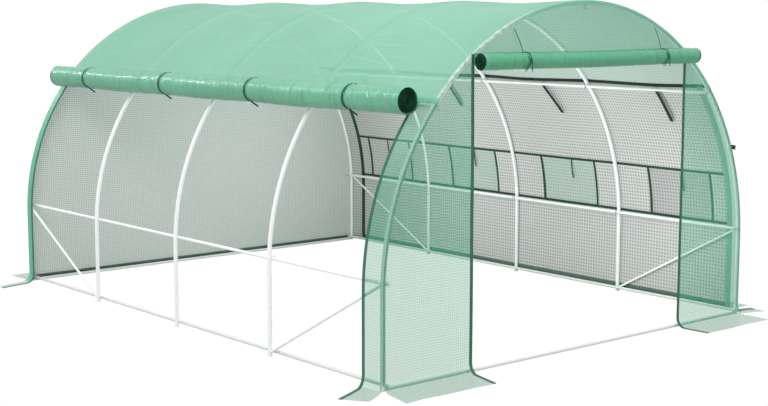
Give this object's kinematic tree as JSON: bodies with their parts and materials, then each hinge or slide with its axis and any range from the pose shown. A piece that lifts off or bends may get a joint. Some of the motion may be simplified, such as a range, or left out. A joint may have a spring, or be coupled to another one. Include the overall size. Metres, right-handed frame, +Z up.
{
  "type": "polytunnel greenhouse",
  "caption": "Walk-in polytunnel: white steel hoops and rails under a green reinforced sheet cover, with a roll-up door, a rolled-up side and a windowed side.",
  "frame": {"origin": "centre of the tunnel's footprint, on the ground", "axes": "+X to the windowed side, +Y along the tunnel away from the door, +Z up"},
  "size_m": [3.5086, 4.5086, 2.0041],
  "materials": {
    "white_tube": "white powder coat, semi-gloss",
    "cover_sheet": "mint green reinforced polyethylene sheet, slightly glossy and translucent",
    "front_sheet": "pale green translucent reinforced polyethylene sheet",
    "rolled_sheet": "rolled green polyethylene sheet, glossy and wrinkled",
    "window_sheet": "green sheet flap behind insect mesh",
    "green_tape": "dark green woven tape",
    "black_strap": "near-black woven strap"
  },
  "bodies": {
    "root": {"hoop_1": "white_tube", "hoop_2": "white_tube", "hoop_3": "white_tube", "hoop_4": "white_tube", "hoop_5": "white_tube", "side_rail_left": "white_tube", "side_rail_right": "white_tube", "purlin_left": "white_tube", "purlin_right": "white_tube", "ridge_tube": "white_tube", "ground_rail_left": "white_tube", "ground_rail_right": "white_tube", "sill_front": "white_tube", "sill_back": "white_tube", "brace_front_left": "white_tube", "brace_front_right": "white_tube", "brace_back_left": "white_tube", "brace_back_right": "white_tube", "roof_cover": "cover_sheet", "seam_tape_left": "green_tape", "seam_tape_right": "green_tape", "strip_front_left": "cover_sheet", "strip_back_left": "cover_sheet", "strip_front_right": "cover_sheet", "strip_back_right": "cover_sheet", "left_opening_bindings": "green_tape", "right_zip_tapes": "green_tape", "right_corner_tab": "black_strap", "right_curtain_upper": "cover_sheet", "right_window_walls": "cover_sheet", "right_curtain_lower": "cover_sheet", "right_window_tapes": "green_tape", "right_window_flaps": "window_sheet", "right_window_ties": "black_strap", "right_straps": "black_strap", "left_curtain_roll": "rolled_sheet", "left_roll_ties": "black_strap", "back_wall": "cover_sheet", "gable_panel": "front_sheet", "front_panel_left": "front_sheet", "front_panel_right": "front_sheet", "door_bindings": "green_tape", "door_roll": "rolled_sheet", "door_roll_ties": "black_strap"}
  },
  "joints": []
}
